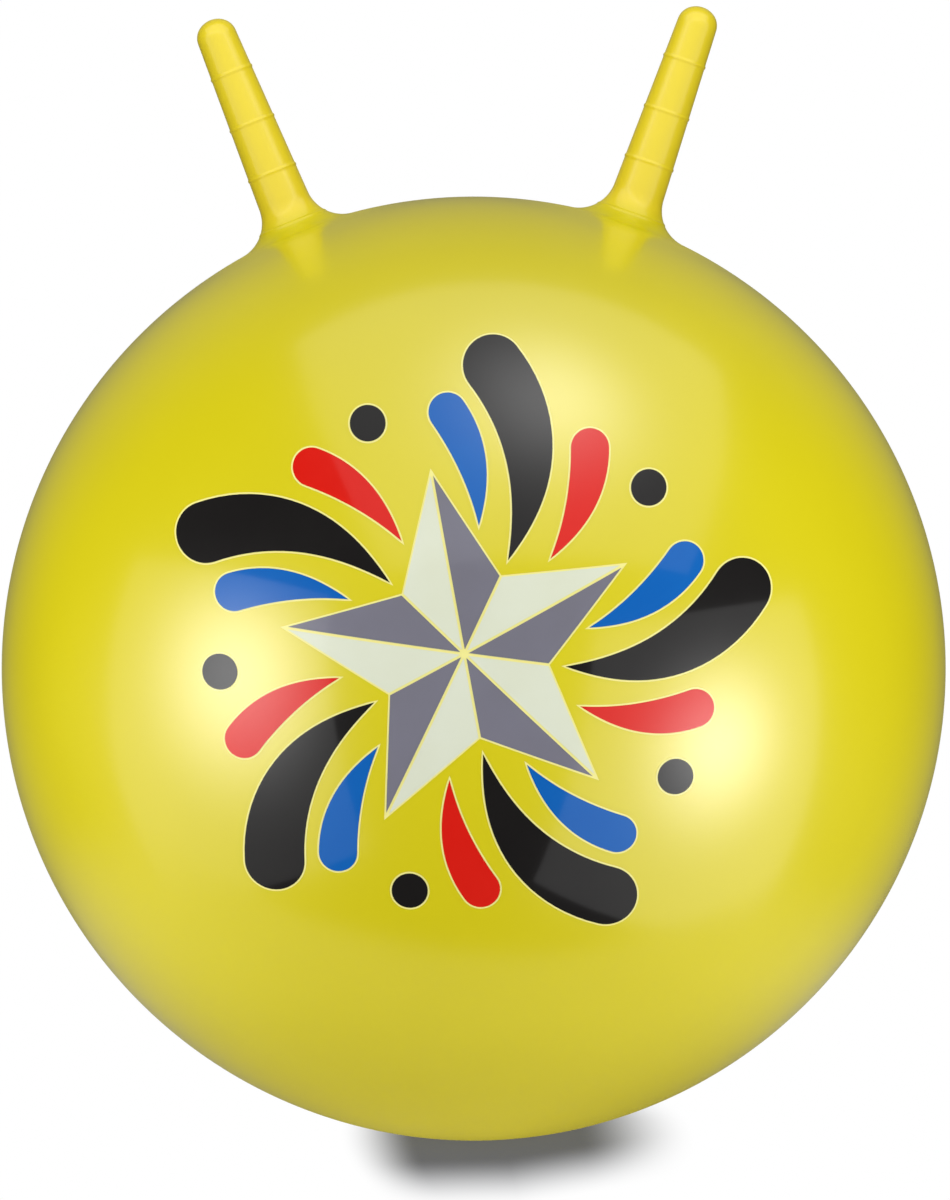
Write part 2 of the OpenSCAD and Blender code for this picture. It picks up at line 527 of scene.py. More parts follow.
@dataclass(frozen=True)
class Vinyl:
    """Moulded soft vinyl: pearly and glossy on the ball, warmer and satin on the horns.

    Attributes:
        ball_centre: middle of the ball.
        ball_r: radius of the ball.
        horn_axis: direction of the right horn, which the left one mirrors.
        ball_colour: the ball's colour.
        cloud_colour: colour of its faint clouds.
        horn_colour: the horns' colour.
        ball_roughness: roughness of the ball under its coat.
        horn_roughness: roughness of the horns under theirs.
        ball_coat: weight of the glossy coat on the ball.
        horn_coat: its weight on the horns.
        root_coat: its weight round the horns' feet.
        coat_ior: its index of refraction.
        coat_roughness: its roughness.
        horn_starts: height over the ball at which the horns' colour starts.
        horn_full: height at which it is full.
        root_full: distance from a horn's axis within which the coat is that of the feet.
        root_ends: distance beyond which it is that of the ball.
        grip_starts: height over the ball at which the horns' coat starts.
        grip_full: height at which it is full.
        cloud_scale: number of clouds in a metre.
        cloud_detail: number of their finer octaves.
        cloud_contrast: how strongly the clouds change the colour.
        clear_share: mean share of the ball's colour among the clouds.
        cloud_roughness: how strongly the clouds change the roughness.
        grain_scale: number of grains in a metre.
        grain_roughness: how strongly the grain changes the roughness.
        grain_h: height of the grain, as a share of the waves' height.
    """

    ball_centre: Vector
    ball_r: float
    horn_axis: Vector
    ball_colour: Colour = screen_colour(214, 201, 8)
    cloud_colour: Colour = screen_colour(207, 194, 5)
    horn_colour: Colour = screen_colour(237, 214, 30)
    ball_roughness: float = 0.30
    horn_roughness: float = 0.34
    ball_coat: float = 0.72
    horn_coat: float = 0.5
    root_coat: float = 0.1
    coat_ior: float = 1.65
    coat_roughness: float = 0.16
    horn_starts: float = 0.0005
    horn_full: float = 0.012
    root_full: float = 0.022
    root_ends: float = 0.064
    grip_starts: float = 0.003
    grip_full: float = 0.014
    cloud_scale: float = 7.0
    cloud_detail: float = 3.0
    cloud_contrast: float = 1.6
    clear_share: float = 0.5
    cloud_roughness: float = 0.05
    grain_scale: float = 900.0
    grain_roughness: float = 0.03
    grain_h: float = 0.012

    def material(self) -> bpy.types.Material:
        """Makes the material.

        Returns:
            The material.
        """
        sheet = MaterialSheet("moulded_vinyl")
        settings = {"operation": "DISTANCE"}
        inputs = {0: sheet.where, 1: self.ball_centre}
        from_middle = sheet.node("ShaderNodeVectorMath", settings, inputs, "Value")
        height = from_middle - self.ball_r
        on_horn = height.ramp(self.horn_starts, self.horn_full)
        on_grip = height.ramp(self.grip_starts, self.grip_full)
        right, back, up = sheet.parts(sheet.where)
        across = abs(right) * self.horn_axis.z - (up - self.ball_centre.z) * self.horn_axis.x
        from_axis = (across ** 2 + back ** 2) ** 0.5
        on_root = 1 - from_axis.ramp(self.root_full, self.root_ends)
        clouds = sheet.noise(sheet.where, self.cloud_scale, self.cloud_detail)
        grain = sheet.noise(sheet.where, self.grain_scale)
        clear = clouds * self.cloud_contrast + self.clear_share
        skin = sheet.mix(clear, self.cloud_colour, self.ball_colour)
        roughness = self.ball_roughness + (self.horn_roughness - self.ball_roughness) * on_horn
        coat = self.ball_coat + (self.root_coat - self.ball_coat) * on_root
        return sheet.shows(sheet.node("ShaderNodeBsdfPrincipled", None, {
            "Base Color": sheet.mix(on_horn, skin, self.horn_colour),
            "Roughness": roughness + clouds * self.cloud_roughness + grain * self.grain_roughness,
            "Coat Weight": coat + (self.horn_coat - self.root_coat) * on_grip,
            "Coat Roughness": self.coat_roughness,
            "Coat IOR": self.coat_ior,
            "Normal": skin_normal(sheet, grain * self.grain_h * (1 + on_horn)),
        }))


@dataclass(frozen=True)
class Ink:
    """A glossy printed ink.

    Attributes:
        name: the material's name.
        colour: the ink's colour.
        thin_colour: its colour where the film is a little thinner.
        roughness: its roughness under the gloss.
        specular: how strongly it shines under the gloss.
        coat: weight of the gloss.
        coat_wear: how much of the gloss is lost in patches.
        coat_roughness: the gloss's roughness.
        coat_ior: its index of refraction.
        cloud_scale: number of thin patches in a metre.
        cloud_detail: number of their finer octaves.
        thin_contrast: how strongly the patches change the colour.
        thin_share: mean share of the thinner film's colour.
        grain_scale: number of grains in a metre.
        grain_roughness: how strongly the grain changes the roughness.
        grain_h: height of the grain, as a share of the waves' height.
    """

    name: str
    colour: Colour
    thin_colour: Colour
    roughness: float = 0.3
    specular: float = 0.08
    coat: float = 0.6
    coat_wear: float = 0.1
    coat_roughness: float = 0.07
    coat_ior: float = 1.5
    cloud_scale: float = 26.0
    cloud_detail: float = 3.0
    thin_contrast: float = 1.4
    thin_share: float = 0.4
    grain_scale: float = 1400.0
    grain_roughness: float = 0.1
    grain_h: float = 0.01

    def material(self) -> bpy.types.Material:
        """Makes the material.

        Returns:
            The material.
        """
        sheet = MaterialSheet(self.name)
        clouds = sheet.noise(sheet.where, self.cloud_scale, self.cloud_detail)
        grain = sheet.noise(sheet.where, self.grain_scale)
        thin = clouds * self.thin_contrast + self.thin_share
        return sheet.shows(sheet.node("ShaderNodeBsdfPrincipled", None, {
            "Base Color": sheet.mix(thin, self.colour, self.thin_colour),
            "Roughness": self.roughness + grain * self.grain_roughness,
            "Specular IOR Level": self.specular,
            "Coat Weight": self.coat - self.coat_wear * clouds ** 2,
            "Coat Roughness": self.coat_roughness,
            "Coat IOR": self.coat_ior,
            "Normal": skin_normal(sheet, grain * self.grain_h),
        }))


@dataclass(frozen=True)
class PlugPlastic:
    """The plug's white plastic, harder than the skin.

    Attributes:
        colour: the plastic's colour.
        shade_colour: colour of its darker clouds.
        roughness: its roughness.
        cloud_scale: number of clouds in a metre.
        cloud_detail: number of their finer octaves.
        shade_share: mean share of the darker colour.
        cloud_roughness: how strongly the clouds change the roughness.
        grain_scale: number of grains in a metre.
        grain_h: height of the grain.
    """

    colour: Colour = screen_colour(232, 231, 222)
    shade_colour: Colour = screen_colour(214, 211, 198)
    roughness: float = 0.32
    cloud_scale: float = 180.0
    cloud_detail: float = 3.0
    shade_share: float = 0.4
    cloud_roughness: float = 0.1
    grain_scale: float = 2500.0
    grain_h: float = 0.00003

    def material(self) -> bpy.types.Material:
        """Makes the material.

        Returns:
            The material.
        """
        sheet = MaterialSheet("plug_plastic")
        clouds = sheet.noise(sheet.where, self.cloud_scale, self.cloud_detail)
        grain = sheet.noise(sheet.where, self.grain_scale)
        return sheet.shows(sheet.node("ShaderNodeBsdfPrincipled", None, {
            "Base Color": sheet.mix(clouds + self.shade_share, self.colour, self.shade_colour),
            "Roughness": self.roughness + clouds * self.cloud_roughness,
            "Normal": sheet.bump(grain, self.grain_h),
        }))


def dressed(
    piece: bpy.types.Object, finish: bpy.types.Material, body: Body, nodes: Sequence[str] = ()
) -> bpy.types.Object:
    """Gives a piece its finish and its place in the model.

    Args:
        piece: the piece.
        finish: its material.
        body: the body that it rides on.
        nodes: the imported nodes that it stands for.

    Returns:
        The piece.
    """
    piece.data.materials.append(finish)
    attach(piece, body.value)
    if nodes:
        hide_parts(*nodes)
    log.info("%s: %d faces on %s", piece.name, len(piece.data.polygons), body.value)
    return piece


# Ball


@dataclass(frozen=True)
class BallSize:
    """Sizes of the ball that the other sub-assemblies share.

    Attributes:
        radius: the ball's outer radius.
        wall: thickness of its skin.
        patch_r: radius of the flat patch that it stands on.
    """

    radius: float = 0.225
    wall: float = 0.001
    patch_r: float = 0.030

    @property
    def centre(self) -> Vector:
        """Middle of the ball, which stands on its flat patch."""
        return Vector((0.0, 0.0, math.sqrt(self.radius ** 2 - self.patch_r ** 2)))


@dataclass(frozen=True)
class Loop:
    """A circle on the ball that a row of mesh edges follows.

    Attributes:
        axis: direction from the ball's middle to the circle's.
        radius: the circle's radius.
        cells: half the width of the square of cells inside it.
        is_hole: whether the skin is open inside it.
    """

    axis: Vector
    radius: float
    cells: int
    is_hole: bool

    @property
    def segments(self) -> int:
        """Number of edges along the circle, which has four sides of twice as many cells."""
        return 8 * self.cells


class QuadSphere:
    """A sphere of even quads, six square grids of cells, with rows of edges along given circles.

    Attributes:
        directions: unit direction of each corner.
        quads: corner numbers of each face outside the holes.
        rims: corner numbers along each hole, counter-clockwise as seen from outside.
        inside: for each corner, whether it lies inside a circle that isn't a hole.
    """

    # Number of times that the cells round a circle are evened out
    RELAX_PASSES = 160
    # How many cells beyond twice a circle's own are evened out with it
    RELAX_MARGIN = 4
    # Digits after the point to which the corners of neighbouring grids agree
    SAME_DIGITS = 6

    def __init__(self, cells: int, ball_r: float, loops: Sequence[Loop]) -> None:
        """Builds the grids, fits them to the circles and joins them.

        Args:
            cells: number of cells along each side of a grid.
            ball_r: radius of the ball that the circles are on.
            loops: the circles.
        """
        self.cells = cells
        grids = [self._grid(Vector(axis)) for axis in self._cube_axes()]
        kept = [np.ones((cells, cells), bool) for _ in grids]
        inside = [np.zeros((cells + 1, cells + 1), bool) for _ in grids]
        rims: list[tuple[int, np.ndarray, np.ndarray]] = []
        for loop in loops:
            side = int(np.argmax([grid.mean(axis=(0, 1)) @ np.array(loop.axis) for grid in grids]))
            rows, columns = self._fit(grids[side], loop, ball_r)
            block = (slice(rows.min(), rows.max()), slice(columns.min(), columns.max()))
            if loop.is_hole:
                kept[side][block] = False
                rims.append((side, rows, columns))
            else:
                inside[side][rows.min() + 1:rows.max(), columns.min() + 1:columns.max()] = True
        self._join(grids, kept, inside, rims)

    @staticmethod
    def _cube_axes() -> Iterator[tuple[float, float, float]]:
        """Gives the directions of a cube's faces.

        Yields:
            The next direction.
        """
        for number in range(3):
            for sign in (1.0, -1.0):
                yield tuple(sign if place == number else 0.0 for place in range(3))

    def _grid(self, axis: Vector) -> np.ndarray:
        """Makes the grid of directions over one face of the cube.

        Args:
            axis: direction of the face.

        Returns:
            Unit directions, in rows and columns, whose steps turn counter-clockwise as seen from outside.
        """
        across = Vector((axis.y, axis.z, axis.x))
        along = axis.cross(across)
        steps = np.tan(np.linspace(-math.pi / 4, math.pi / 4, self.cells + 1))
        rows = steps[:, None, None] * np.array(across)
        columns = steps[None, :, None] * np.array(along)
        grid = np.array(axis) + rows + columns
        return grid / np.linalg.norm(grid, axis=2, keepdims=True)

    def _fit(self, grid: np.ndarray, loop: Loop, ball_r: float) -> tuple[np.ndarray, np.ndarray]:
        """Draws a square of cells to a circle and evens out the cells round it.

        Args:
            grid: the grid that the circle is on, which is changed.
            loop: the circle.
            ball_r: radius of the ball.

        Returns:
            Rows and columns of the corners along the circle.
        """
        row, column = np.unravel_index(np.argmax(grid @ np.array(loop.axis)), grid.shape[:2])
        run = np.arange(-loop.cells, loop.cells)
        end = np.full_like(run, loop.cells)
        rows = row + np.concatenate([run, end, -run, -end])
        columns = column + np.concatenate([-end, run, end, -run])
        turn = np.array(axis_place(loop.axis, Vector()).to_3x3())
        local = grid[rows, columns] @ turn
        step = FULL_TURN / loop.segments
        even = step * np.arange(loop.segments)
        lag = np.angle(np.mean(np.exp(1j * (np.arctan2(local[:, 1], local[:, 0]) - even))))
        angles = even + step * round(lag / step)
        spread = loop.radius / ball_r
        rim = np.column_stack([
            spread * np.cos(angles),
            spread * np.sin(angles),
            np.full(loop.segments, math.sqrt(1 - spread ** 2)),
        ]) @ turn.T
        reach = 2 * loop.cells + self.RELAX_MARGIN
        low = np.maximum([row - reach, column - reach], 0)
        high = np.minimum([row + reach, column + reach], self.cells)
        block = grid[low[0]:high[0] + 1, low[1]:high[1] + 1]
        for _ in range(self.RELAX_PASSES):
            grid[rows, columns] = rim
            middle = block[:-2, 1:-1] + block[2:, 1:-1] + block[1:-1, :-2] + block[1:-1, 2:]
            block[1:-1, 1:-1] = middle / np.linalg.norm(middle, axis=2, keepdims=True)
        grid[rows, columns] = rim
        return rows, columns

    def _join(
        self,
        grids: list[np.ndarray],
        kept: list[np.ndarray],
        inside: list[np.ndarray],
        rims: list[tuple[int, np.ndarray, np.ndarray]],
    ) -> None:
        """Joins the grids along the cube's edges and keeps the result.

        Args:
            grids: directions of each grid's corners.
            kept: for each grid, which cells are faces.
            inside: for each grid, which corners lie inside a circle that isn't a hole.
            rims: grid number, rows and columns of the corners along each hole.
        """
        every = np.concatenate([grid.reshape(-1, 3) for grid in grids])
        near = np.round(every, self.SAME_DIGITS)
        _, first, same = np.unique(near, axis=0, return_index=True, return_inverse=True)
        numbers = same.reshape(len(grids), self.cells + 1, self.cells + 1)
        faces = [
            np.stack([n[:-1, :-1], n[1:, :-1], n[1:, 1:], n[:-1, 1:]], axis=2)[keep]
            for n, keep in zip(numbers, kept)
        ]
        quads = np.concatenate(faces)
        used, packed = np.unique(quads, return_inverse=True)
        renumber = {int(old): new for new, old in enumerate(used)}
        self.directions = every[first][used]
        self.quads = packed.reshape(quads.shape)
        self.rims = [
            [renumber[int(number)] for number in numbers[side][rows, columns]] for side, rows, columns in rims
        ]
        self.inside = np.concatenate([mask.ravel() for mask in inside])[first][used]


@dataclass
class BallSkin:
    """The inflated skin: a closed shell with holes for the horns and the valve, flat where it stands.

    Attributes:
        size: the ball's sizes.
        loops: the circles of the horns' feet and the valve's pad.
        grid_cells: number of cells along each side of a grid.
        patch_cells: half the width of the square of cells inside the flat patch.
    """

    size: BallSize
    loops: list[Loop]
    grid_cells: int = 80
    patch_cells: int = 6

    @property
    def patch(self) -> Loop:
        """Circle round the flat patch that the ball stands on."""
        return Loop(Vector((0.0, 0.0, -1.0)), self.size.patch_r, self.patch_cells, is_hole=False)

    def _shell(self, sphere: QuadSphere, radius: float, floor_z: float) -> np.ndarray:
        """Gives the corners of one side of the skin.

        Args:
            sphere: directions of the corners.
            radius: distance of the corners from the ball's middle.
            floor_z: height under which no corner goes.

        Returns:
            The corners.
        """
        centre = np.array(self.size.centre)
        down = np.minimum(sphere.directions[:, 2], -TINY)
        reach = np.where(sphere.inside, (floor_z - centre[2]) / down, radius)
        return centre + sphere.directions * np.minimum(reach, radius)[:, None]

    def build(self) -> bpy.types.Object:
        """Builds the skin, outside and inside.

        Returns:
            The skin.
        """
        size = self.size
        sphere = QuadSphere(self.grid_cells, size.radius, [*self.loops, self.patch])
        outside = self._shell(sphere, size.radius, 0.0)
        inner = self._shell(sphere, size.radius - size.wall, size.wall)
        under = len(outside)
        faces = [tuple(quad) for quad in sphere.quads.tolist()]
        faces += [tuple(under + corner for corner in reversed(quad)) for quad in sphere.quads.tolist()]
        for rim in sphere.rims:
            for here, ahead in zip(rim, rim[1:] + rim[:1]):
                faces.append((here, ahead, under + ahead, under + here))
        out = np.where(sphere.inside[:, None], np.array((0.0, 0.0, -1.0)), sphere.directions)
        return Draft(np.vstack([outside, inner]), np.vstack([out, -out]), faces).piece("skin")

    def dress(self, finish: bpy.types.Material) -> bpy.types.Object:
        """Builds the skin and gives it its finish."""
        return dressed(self.build(), finish, Body.BALL, ["ball_skin"])


# Horns


@dataclass
class Horn:
    """A hollow grip horn with moulded rings and a flared root, turned about a line through the ball's middle.

    Attributes:
        ball: the ball's sizes.
        side: the side that the horn is on.
        lean_deg: angle by which it leans out.
        length: height of its end over the ball.
        root_r: its radius over the flare.
        tip_r: its radius under the rounded end.
        wall: thickness of its wall.
        flare_r: radius of the flare's arc.
        shoulder_r: radius of the end's rounded edge.
        crown_r: radius of the end's crown.
        ring_count: number of rings.
        ring_base: height of the lowest ring over the ball.
        ring_pitch: distance from ring to ring.
        ring_h: height of a ring.
        low_ring_h: height of the lowest ring, which lies on the flare.
        ring_w: width of a ring.
        foot_cells: half the width of the square of cells inside the foot's circle.
        crown_steps: number of steps along the crown.
        shoulder_steps: number of steps along the rounded edge.
        side_points: number of points along the straight side, both ends included.
        flare_steps: number of steps along the flare.
    """

    ball: BallSize
    side: Side
    lean_deg: float = 20.6
    length: float = 0.108
    root_r: float = 0.0124
    tip_r: float = 0.0096
    wall: float = 0.003
    flare_r: float = 0.018
    shoulder_r: float = 0.0085
    crown_r: float = 0.0105
    ring_count: int = 4
    ring_base: float = 0.0045
    ring_pitch: float = 0.0255
    ring_h: float = 0.0004
    low_ring_h: float = 0.00025
    ring_w: float = 0.0024
    foot_cells: int = 8
    crown_steps: int = 8
    shoulder_steps: int = 10
    side_points: int = 220
    flare_steps: int = 84

    @property
    def axis(self) -> Vector:
        """Direction of the horn."""
        lean = math.radians(self.lean_deg)
        return Vector((self.side.value * math.sin(lean), 0.0, math.cos(lean)))

    @property
    def flare_centre(self) -> tuple[float, float]:
        """Centre of the flare's arc, which touches the horn's side and the ball."""
        away = self.root_r + self.flare_r
        return away, math.sqrt((self.ball.radius + self.flare_r) ** 2 - away ** 2)

    @property
    def loop(self) -> Loop:
        """Circle on the ball at which the flare runs out."""
        foot_r = self.flare_centre[0] * self.ball.radius / (self.ball.radius + self.flare_r)
        return Loop(self.axis, foot_r, self.foot_cells, is_hole=True)

    def _side_line(self) -> np.ndarray:
        """Draws the horn's outline, without its rings.

        Returns:
            The points from the crown's pole down to the foot.
        """
        flare = self.flare_centre
        shoulder_x = self.tip_r - self.shoulder_r
        crown_drop = math.sqrt((self.crown_r - self.shoulder_r) ** 2 - shoulder_x ** 2)
        crown_z = self.ball.radius + self.length - self.crown_r
        shoulder_z = crown_z + crown_drop
        meeting = math.atan2(crown_drop, shoulder_x)
        taper = math.atan2(self.root_r - self.tip_r, shoulder_z - flare[1])
        crown = arc((0.0, crown_z), self.crown_r, math.pi / 2, meeting, self.crown_steps)
        shoulder = arc((shoulder_x, shoulder_z), self.shoulder_r, meeting, taper, self.shoulder_steps)
        foot_angle = math.pi + math.atan2(flare[1], flare[0])
        root = arc(flare, self.flare_r, math.pi + taper, foot_angle, self.flare_steps)
        rise = np.linspace(0, 1, self.side_points)[1:-1, None]
        straight = shoulder[-1] * (1 - rise) + root[0] * rise
        return np.vstack([crown, shoulder[1:], straight, root])

    def _ring_swell(self, line: np.ndarray) -> np.ndarray:
        """Gives how far each point of the outline stands out on a ring.

        Args:
            line: the outline without its rings.

        Returns:
            The height over that outline at each point.
        """
        swell = np.zeros(len(line))
        for number in range(self.ring_count):
            height = self.ball.radius + self.ring_base + number * self.ring_pitch
            middle = line[np.argmin(np.abs(line[:, 1] - height))]
            away = np.linalg.norm(line - middle, axis=1) / (self.ring_w / 2)
            ring_h = self.ring_h if number else self.low_ring_h
            swell += ring_h * np.where(away < 1, np.cos(np.pi / 2 * np.minimum(away, 1)) ** 2, 0)
        return swell

    def build(self) -> bpy.types.Object:
        """Builds the horn, outside and hollow inside.

        Returns:
            The horn.
        """
        line = self._side_line()
        normals = outline_normals(line)
        normals[0] = (0.0, 1.0)
        normals[-1] = line[-1] / np.linalg.norm(line[-1])
        outside = line + normals * self._ring_swell(line)[:, None]
        outside_normals = outline_normals(outside)
        outside_normals[[0, -1]] = normals[[0, -1]]
        rise = (line[:, 1] - line[-1, 1]) / (self.flare_centre[1] - line[-1, 1])
        thickness = self.ball.wall + (self.wall - self.ball.wall) * np.clip(rise, 0, 1)
        hollow = (line - normals * thickness[:, None])[::-1]
        hollow[-1, 0] = 0.0
        place = axis_place(self.axis, self.ball.centre)
        whole = np.vstack([outside, hollow])
        whole_normals = np.vstack([outside_normals, -normals[::-1]])
        turned = revolve(whole, whole_normals, place, self.loop.segments)
        return turned.piece(f"{self.side.name.lower()}_grip")

    def dress(self, finish: bpy.types.Material) -> bpy.types.Object:
        """Builds the horn and gives it its finish."""
        return dressed(self.build(), finish, Body.BALL, [f"{self.side.name.lower()}_horn"])


# Valve


@dataclass
class Valve:
    """The air valve at the back: a soft seat with a pad, a flange and a neck, and a ridged plug.

    Attributes:
        ball: the ball's sizes.
        axis: direction in which the plug is pulled.
        seam: gap between the skin and the flange under it.
        pad_r: radius of the pad on the outside.
        flange_r: radius of the flange on the inside.
        flange_t: thickness of the flange.
        neck_r: radius of the neck.
        neck_len: length of the neck.
        bore_r: radius of the bore.
        recess_depth: depth of the recess for the plug's head.
        head_r: radius of the plug's head.
        head_t: thickness of the head at its rim.
        head_rise: height of the head's dome over its rim.
        head_gap: gap round the head.
        stem_len: length of the plug's stem.
        nose_len: length of the smooth nose at its end.
        ridge_count: number of ridges on the stem.
        ridge_depth: depth of the grooves between them.
        ridge_parts: number of parts of a ridge, of which its steep edge takes one.
        plug_gap: gap between the plug and its seat.
        edge_r: radius to which edges are rounded.
        pad_cells: half the width of the square of cells inside the pad's circle.
        segments: number of steps round the axis.
        pad_steps: number of steps along the curves of the pad and the flange.
        dome_steps: number of steps along the head's dome.
    """

    ball: BallSize
    axis: Vector
    seam: float = 0.00002
    pad_r: float = 0.015
    flange_r: float = 0.023
    flange_t: float = 0.002
    neck_r: float = 0.0075
    neck_len: float = 0.016
    bore_r: float = 0.004
    recess_depth: float = 0.0014
    head_r: float = 0.008
    head_t: float = 0.0016
    head_rise: float = 0.0008
    head_gap: float = 0.0004
    stem_len: float = 0.017
    nose_len: float = 0.0025
    ridge_count: int = 4
    ridge_depth: float = 0.0007
    ridge_parts: int = 6
    plug_gap: float = 0.00005
    edge_r: float = 0.0003
    pad_cells: int = 6
    segments: int = 96
    pad_steps: int = 6
    dome_steps: int = 10

    @property
    def loop(self) -> Loop:
        """Circle on the ball round the pad."""
        return Loop(self.axis, self.pad_r, self.pad_cells, is_hole=True)

    @property
    def recess_floor(self) -> float:
        """Height of the recess's floor along the axis."""
        return self.ball.radius - self.recess_depth

    def _seat_outline(self) -> np.ndarray:
        """Draws the seat's section.

        Returns:
            Its points, clockwise from the rim of the recess.
        """
        ball_r = self.ball.radius
        flange_top = ball_r - self.ball.wall - self.seam
        flange_under = flange_top - self.flange_t
        neck_end = flange_under - self.neck_len
        recess_r = self.head_r + self.head_gap

        def on_sphere(radius: float, start: float, end: float) -> np.ndarray:
            """Gives points along a sphere between two distances from the axis."""
            angles = [math.acos(away / radius) for away in (start, end)]
            return arc((0.0, 0.0), radius, *angles, self.pad_steps)

        pad = on_sphere(ball_r, recess_r + self.edge_r, self.pad_r)
        flange = on_sphere(flange_top, self.pad_r, self.flange_r)
        underside = on_sphere(flange_under, self.flange_r, self.neck_r)
        neck = rounded([
            (self.neck_r, neck_end, self.edge_r),
            (self.bore_r, neck_end, self.edge_r),
            (self.bore_r, self.recess_floor, self.edge_r),
            (recess_r, self.recess_floor, self.edge_r),
            (recess_r, math.sqrt(ball_r ** 2 - recess_r ** 2), self.edge_r),
            (pad[0, 0], pad[0, 1], 0.0),
            (self.neck_r, neck_end + self.neck_len, 0.0),
        ])[:-2]
        return np.vstack([pad, flange, underside, neck])

    def _plug_outline(self) -> np.ndarray:
        """Draws the plug's half section.

        Returns:
            Its points, from the domed top down to the nose.
        """
        head_under = self.recess_floor + self.plug_gap
        rim_top = head_under + self.head_t
        dome_r = (self.head_r ** 2 + self.head_rise ** 2) / (2 * self.head_rise)
        dome_z = rim_top + self.head_rise - dome_r
        dome_end = math.acos((self.head_r - self.edge_r) / dome_r)
        dome = arc((0.0, dome_z), dome_r, math.pi / 2, dome_end, self.dome_steps)
        stem_r = self.bore_r - self.plug_gap
        core_r = stem_r - self.ridge_depth
        nose_r = core_r - self.ridge_depth
        nose_end = head_under - self.stem_len
        pitch = (self.stem_len - self.nose_len) / self.ridge_count
        corners = [
            (*dome[-1], 0.0),
            (self.head_r, rim_top, self.edge_r),
            (self.head_r, head_under, self.edge_r),
            (core_r, head_under, self.edge_r),
        ]
        for number in range(self.ridge_count):
            top = head_under - number * pitch
            corners.append((stem_r, top - pitch / self.ridge_parts, self.edge_r / 2))
            corners.append((core_r, top - pitch, self.edge_r / 2))
        corners += [(nose_r, nose_end, self.edge_r), (0.0, nose_end, 0.0)]
        return np.vstack([dome[:-1], rounded(corners)])

    def build_seat(self) -> bpy.types.Object:
        """Builds the seat.

        Returns:
            The seat.
        """
        outline = self._seat_outline()
        place = axis_place(self.axis, self.ball.centre)
        normals = outline_normals(outline, closed=True)
        return revolve(outline, normals, place, self.segments, closed=True).piece("valve_insert")

    def build_plug(self) -> bpy.types.Object:
        """Builds the plug.

        Returns:
            The plug.
        """
        outline = self._plug_outline()
        place = axis_place(self.axis, self.ball.centre)
        normals = outline_normals(outline)
        normals[[0, -1]] = ((0.0, 1.0), (0.0, -1.0))
        return revolve(outline, normals, place, self.segments).piece("stopper")

    def dress(self, skin: bpy.types.Material, plastic: bpy.types.Material) -> None:
        """Builds the seat and the plug and gives them their finishes."""
        dressed(self.build_seat(), skin, Body.BALL, ["valve_seat"])
        dressed(self.build_plug(), plastic, Body.PLUG, ["valve_plug"])


# Print


class Shape(Enum):
    """Printed shapes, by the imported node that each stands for."""

    WHITE = "print_white"
    GREY = "print_grey"
    BLUE = "print_blue"
    RED = "print_red"
    BLACK = "print_black"


